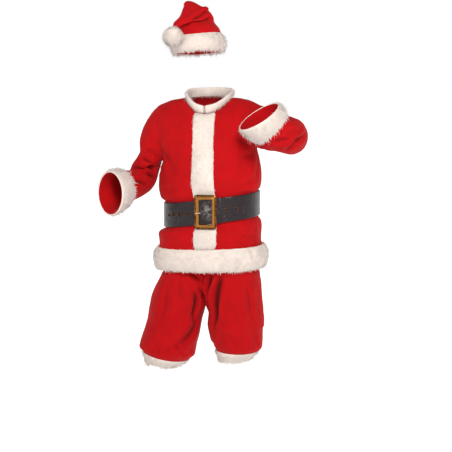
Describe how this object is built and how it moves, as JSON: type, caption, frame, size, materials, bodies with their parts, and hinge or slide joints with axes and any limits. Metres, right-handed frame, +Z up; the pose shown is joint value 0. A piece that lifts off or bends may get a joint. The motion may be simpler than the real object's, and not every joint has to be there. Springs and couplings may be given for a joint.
{
  "type": "santa suit",
  "caption": "Santa suit as worn: red plush jacket, trousers and hat with cream fur trim and a black belt with an antique brass buckle.",
  "frame": {"origin": "middle of the neck opening, level with the top of the shoulder seams, where the wearer holds the suit up", "axes": "+Z up along the body, -Y out of the front of the suit, +X to the wearer's left"},
  "size_m": [0.8138, 0.4515, 1.4368],
  "materials": {
    "red_plush": "soft matte pile",
    "white_fur": "long soft pile",
    "black_vinyl": "glossy",
    "antique_brass": "antiqued satin"
  },
  "bodies": {
    "root": {"jacket_front_left": "red_plush", "jacket_front_right": "red_plush", "jacket_back": "red_plush", "sleeve_left": "red_plush", "sleeve_right": "red_plush", "trouser_leg_left": "red_plush", "trouser_leg_right": "red_plush", "trouser_waistband": "red_plush", "hat_crown": "red_plush", "hat_pompom": "white_fur", "fur_hat_brim": "white_fur", "fur_hem_band": "white_fur", "fur_front_strip": "white_fur", "fur_neckband": "white_fur", "fur_cuff_left": "white_fur", "fur_cuff_right": "white_fur", "fur_leg_cuff_left": "white_fur", "fur_leg_cuff_right": "white_fur", "belt_strap": "black_vinyl", "belt_keeper": "black_vinyl", "belt_buckle": "antique_brass", "belt_prong": "antique_brass", "belt_eyelet_1": "antique_brass", "belt_eyelet_2": "antique_brass", "belt_eyelet_3": "antique_brass", "belt_eyelet_4": "antique_brass", "belt_eyelet_5": "antique_brass", "belt_eyelet_6": "antique_brass"}
  },
  "joints": []
}
